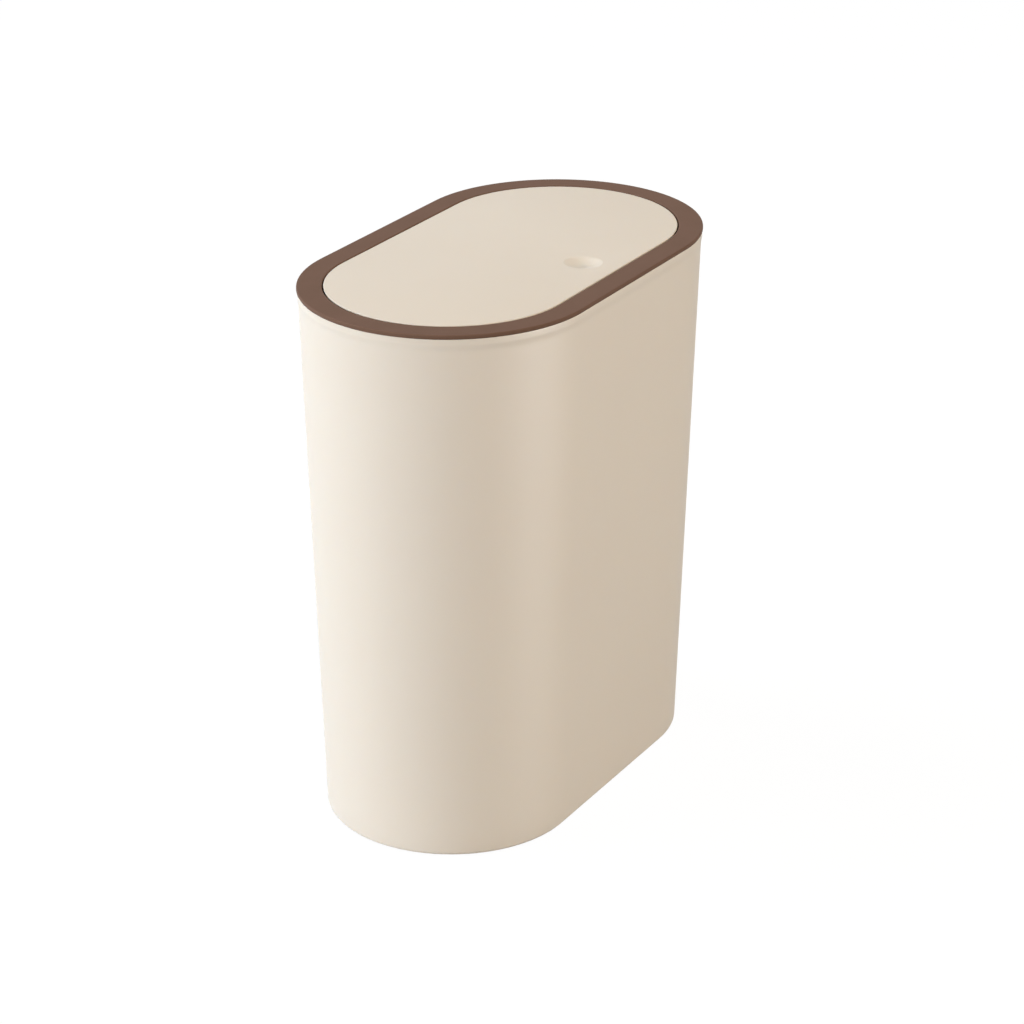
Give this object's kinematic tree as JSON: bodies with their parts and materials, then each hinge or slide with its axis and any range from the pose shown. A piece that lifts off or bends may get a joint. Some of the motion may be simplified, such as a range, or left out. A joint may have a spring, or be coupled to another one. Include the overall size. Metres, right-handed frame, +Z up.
{
  "type": "push top countertop bin",
  "caption": "Oval tapered countertop bin in cream plastic with a brown lift-off rim ring and a flush sprung lid opened by pressing its fingertip dimple.",
  "frame": {"origin": "centre of the footprint, on the surface the bin stands on", "axes": "+Z up to the lid; X along the long sides; -Y is the front, where the lid is pressed; the hinge is at +Y"},
  "size_m": [0.2182, 0.1262, 0.24],
  "materials": {
    "cream_plastic": "fine satin moulded polypropylene",
    "brown_plastic": "matte moulded plastic",
    "white_plastic": "natural moulded plastic",
    "grey_rubber": "matte",
    "steel": "bright zinc plated"
  },
  "bodies": {
    "bin": {"bucket": "cream_plastic", "feet": "grey_rubber"},
    "ring": {"rim_ring": "brown_plastic", "hinge_pin": "steel", "pin_clips": "steel", "torsion_spring_left": "steel", "torsion_spring_right": "steel", "latch_case": "white_plastic", "latch_cover": "white_plastic", "latch_spring": "steel", "cam_pin": "steel", "latch_screws": "steel", "bumpers": "grey_rubber"},
    "slider": {"latch_slider": "brown_plastic"},
    "lid": {"lid_panel": "cream_plastic", "lid_liner": "white_plastic", "liner_screws": "steel", "hinge_arm_left": "brown_plastic", "hinge_arm_right": "brown_plastic", "arm_screws": "steel", "striker": "white_plastic", "striker_screws": "steel"}
  },
  "joints": [
    {"name": "ring_lift", "type": "slide", "parent": "bin", "child": "ring", "axis": [0, 0, 1], "range_m": [0, 0.08]},
    {"name": "lid_hinge", "type": "hinge", "parent": "ring", "child": "lid", "pos_m": [0, 0.0575, 0.2352], "axis": [-1, 0, 0], "range_deg": [-1.5, 85]},
    {"name": "latch_press", "type": "slide", "parent": "ring", "child": "slider", "axis": [0, 0, 1], "range_m": [-0.0027, 0.004], "stiffness_N_per_m": 150, "deforming": ["latch_spring"]}
  ]
}
